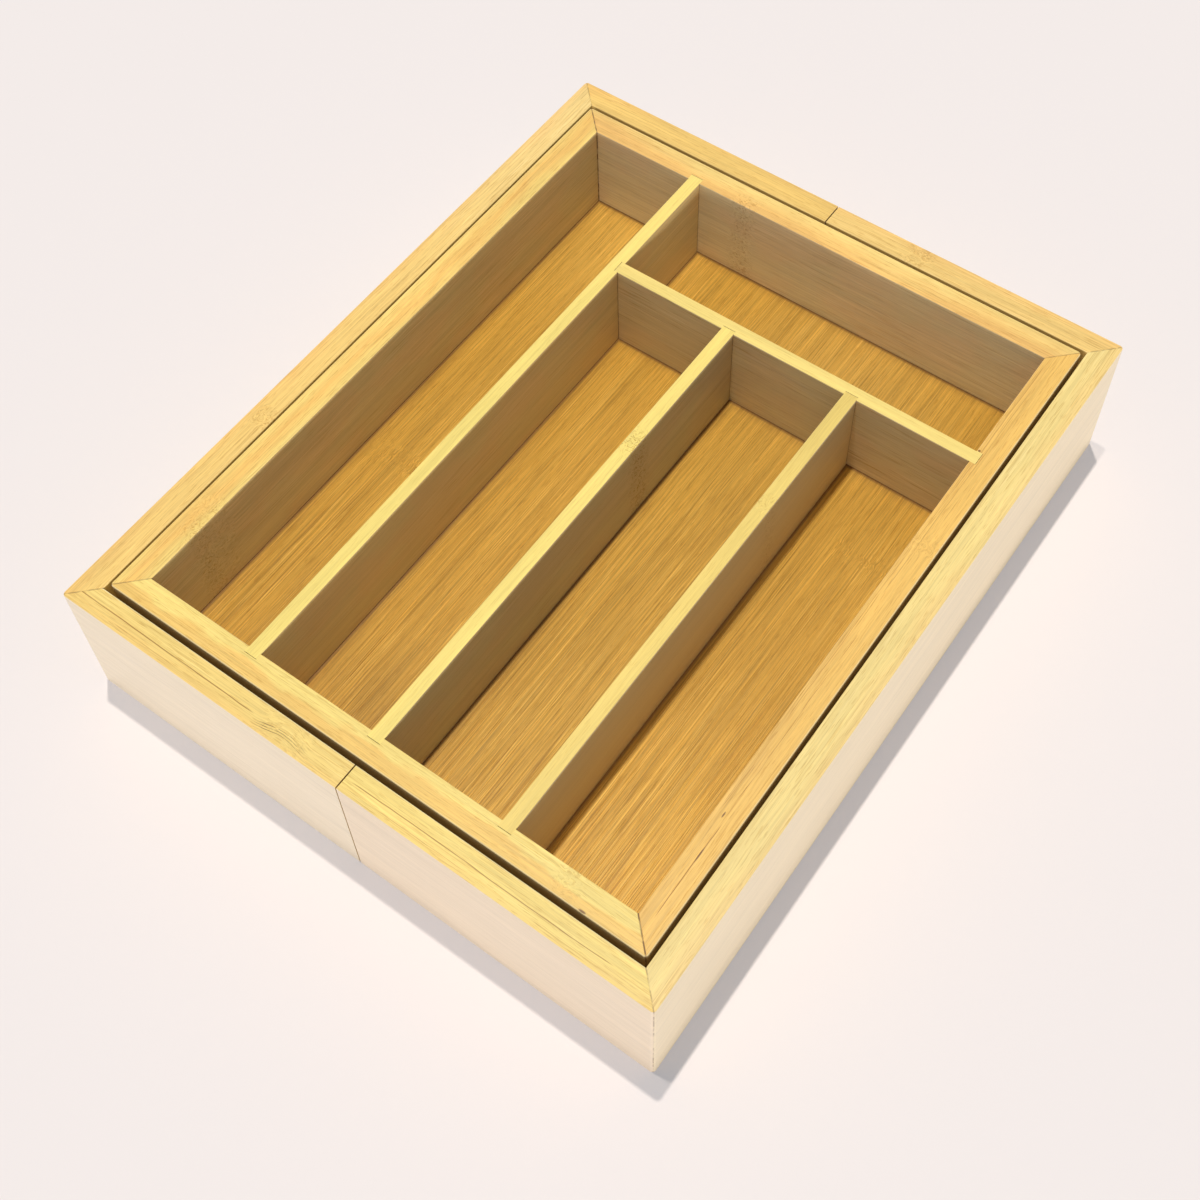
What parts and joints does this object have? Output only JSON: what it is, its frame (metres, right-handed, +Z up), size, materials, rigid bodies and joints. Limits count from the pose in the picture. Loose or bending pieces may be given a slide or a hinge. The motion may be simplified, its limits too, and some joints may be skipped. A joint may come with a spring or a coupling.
{
  "type": "cutlery tray",
  "caption": "Expandable bamboo cutlery tray: a centre tray with compartments inside an outer frame whose two halves slide apart on tongues to fill a drawer.",
  "frame": {"origin": "under the middle of the closed tray, on the surface that it stands on", "axes": "+Z up, +Y to the back, +X to the right, the way that the halves slide apart"},
  "size_m": [0.2904, 0.3574, 0.0726],
  "materials": {
    "rim_bamboo": "satin",
    "frame_bamboo": "satin",
    "divider_bamboo": "satin",
    "floor_bamboo": "satin",
    "guide_bamboo": "satin"
  },
  "bodies": {
    "centre_tray": {"centre_front_wall": "rim_bamboo", "centre_back_wall": "rim_bamboo", "centre_left_wall": "rim_bamboo", "centre_right_wall": "rim_bamboo", "centre_floor": "floor_bamboo", "long_divider": "divider_bamboo", "cross_divider": "divider_bamboo", "middle_divider": "divider_bamboo", "right_divider": "divider_bamboo"},
    "left_frame": {"left_side_wall": "frame_bamboo", "left_front_rail": "frame_bamboo", "left_back_rail": "frame_bamboo", "left_floor": "floor_bamboo", "left_front_guide": "guide_bamboo", "left_back_guide": "guide_bamboo"},
    "right_frame": {"right_side_wall": "frame_bamboo", "right_front_rail": "frame_bamboo", "right_back_rail": "frame_bamboo", "right_floor": "floor_bamboo", "right_front_guide": "guide_bamboo", "right_back_guide": "guide_bamboo"}
  },
  "joints": [
    {"name": "left_slide", "type": "slide", "parent": "centre_tray", "child": "left_frame", "axis": [-1, 0, 0], "range_m": [0, 0.085]},
    {"name": "right_slide", "type": "slide", "parent": "centre_tray", "child": "right_frame", "axis": [1, 0, 0], "range_m": [0, 0.085]}
  ]
}
